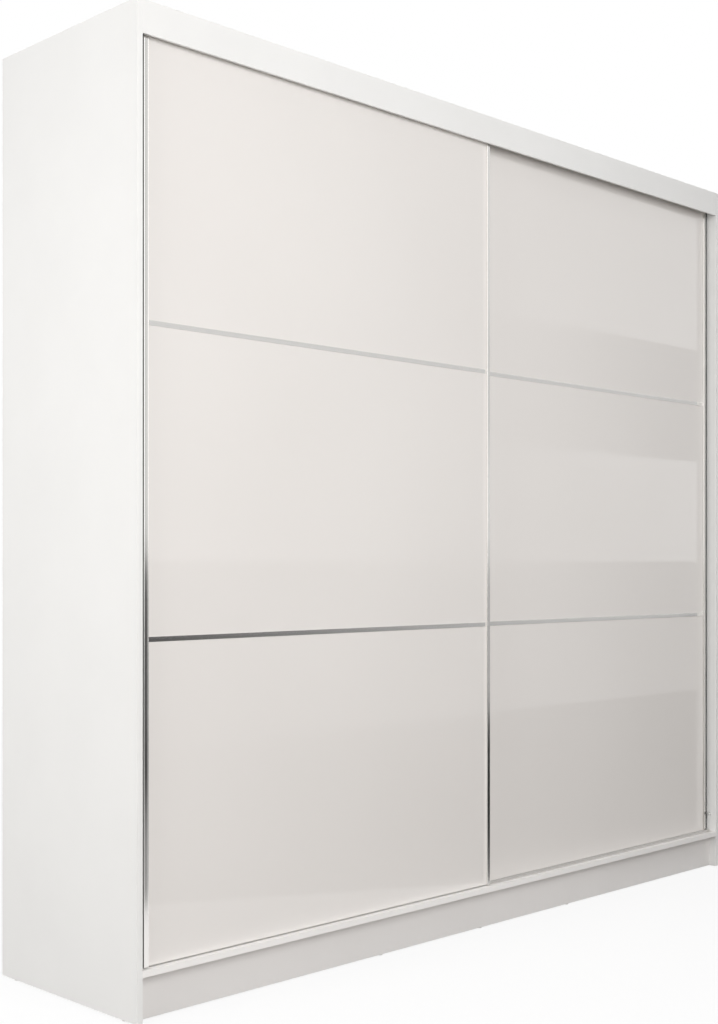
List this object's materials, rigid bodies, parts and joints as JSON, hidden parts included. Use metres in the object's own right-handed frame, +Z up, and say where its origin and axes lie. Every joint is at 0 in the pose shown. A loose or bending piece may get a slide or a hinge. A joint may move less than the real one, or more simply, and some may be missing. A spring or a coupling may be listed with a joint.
{
  "type": "sliding door wardrobe",
  "caption": "White sliding door wardrobe: glass-faced doors with polished strips and grip profiles roll on a beaded track in front of shelves and hanging bays.",
  "frame": {"origin": "on the floor under the middle of the carcass", "axes": "+X to the right along the width, +Y from the doors to the back, +Z up"},
  "size_m": [2.5, 0.6, 2.4],
  "materials": {
    "white_board": "satin white melamine",
    "back_sheet": "white lacquered fibreboard",
    "door_board": "white melamine",
    "painted_glass": "gloss, back-painted warm white",
    "polished_aluminium": "polished",
    "track_aluminium": "satin anodised",
    "steel": "zinc plated",
    "zinc": "die-cast zinc",
    "chrome_tube": "chrome plated",
    "nylon": "moulded",
    "rubber": "moulded, pale",
    "brush_pile": "woven pile"
  },
  "bodies": {
    "carcass": {"back_panel_left": "back_sheet", "back_panel_right": "back_sheet", "base_supports": "white_board", "bottom_panel": "white_board", "bottom_track": "track_aluminium", "cam_dowels": "steel", "cam_locks": "zinc", "centre_partition": "white_board", "door_stops": "rubber", "floor_glides": "nylon", "front_plinth": "white_board", "left_hanging_rail": "chrome_tube", "left_hat_shelf": "white_board", "left_partition": "white_board", "left_shelves": "white_board", "left_side_panel": "white_board", "rail_sockets": "chrome_tube", "rear_plinth": "white_board", "right_hanging_rail": "chrome_tube", "right_hat_shelf": "white_board", "right_partition": "white_board", "right_shelves": "white_board", "right_side_panel": "white_board", "shelf_pins": "steel", "top_fascia": "white_board", "top_panel": "white_board", "top_track": "track_aluminium", "wall_brackets": "steel"},
    "left_door": {"left_door_board": "door_board", "left_door_bottom_rail": "track_aluminium", "left_door_brush_seals": "brush_pile", "left_door_carriages": "steel", "left_door_glass_lower": "painted_glass", "left_door_glass_middle": "painted_glass", "left_door_glass_upper": "painted_glass", "left_door_profile_left": "polished_aluminium", "left_door_profile_right": "polished_aluminium", "left_door_strip_lower": "polished_aluminium", "left_door_strip_upper": "polished_aluminium", "left_door_top_guides": "nylon", "left_door_wheel_axles": "steel"},
    "right_door": {"right_door_board": "door_board", "right_door_bottom_rail": "track_aluminium", "right_door_brush_seals": "brush_pile", "right_door_carriages": "steel", "right_door_glass_lower": "painted_glass", "right_door_glass_middle": "painted_glass", "right_door_glass_upper": "painted_glass", "right_door_profile_left": "polished_aluminium", "right_door_profile_right": "polished_aluminium", "right_door_strip_lower": "polished_aluminium", "right_door_strip_upper": "polished_aluminium", "right_door_top_guides": "nylon", "right_door_wheel_axles": "steel"},
    "left_door_left_wheel": {"left_door_wheel_left": "nylon"},
    "left_door_right_wheel": {"left_door_wheel_right": "nylon"},
    "right_door_left_wheel": {"right_door_wheel_left": "nylon"},
    "right_door_right_wheel": {"right_door_wheel_right": "nylon"}
  },
  "joints": [
    {"name": "left_door_slide", "type": "slide", "parent": "carcass", "child": "left_door", "axis": [1, 0, 0], "range_m": [0, 1.202]},
    {"name": "right_door_slide", "type": "slide", "parent": "carcass", "child": "right_door", "axis": [1, 0, 0], "range_m": [-1.202, 0]},
    {"name": "left_door_left_wheel_spin", "type": "hinge", "parent": "left_door", "child": "left_door_left_wheel", "pos_m": [-1.102, -0.274, 0.1432], "axis": [0, 1, 0], "continuous": true},
    {"name": "left_door_right_wheel_spin", "type": "hinge", "parent": "left_door", "child": "left_door_right_wheel", "pos_m": [-0.1, -0.274, 0.1432], "axis": [0, 1, 0], "continuous": true},
    {"name": "right_door_left_wheel_spin", "type": "hinge", "parent": "right_door", "child": "right_door_left_wheel", "pos_m": [0.1, -0.251, 0.1432], "axis": [0, 1, 0], "continuous": true},
    {"name": "right_door_right_wheel_spin", "type": "hinge", "parent": "right_door", "child": "right_door_right_wheel", "pos_m": [1.102, -0.251, 0.1432], "axis": [0, 1, 0], "continuous": true}
  ],
  "couplings": [
    {"joint": "left_door_left_wheel_spin", "follows": "left_door_slide", "rad_per_m": 95.238},
    {"joint": "left_door_right_wheel_spin", "follows": "left_door_slide", "rad_per_m": 95.238},
    {"joint": "right_door_left_wheel_spin", "follows": "right_door_slide", "rad_per_m": 95.238},
    {"joint": "right_door_right_wheel_spin", "follows": "right_door_slide", "rad_per_m": 95.238}
  ]
}
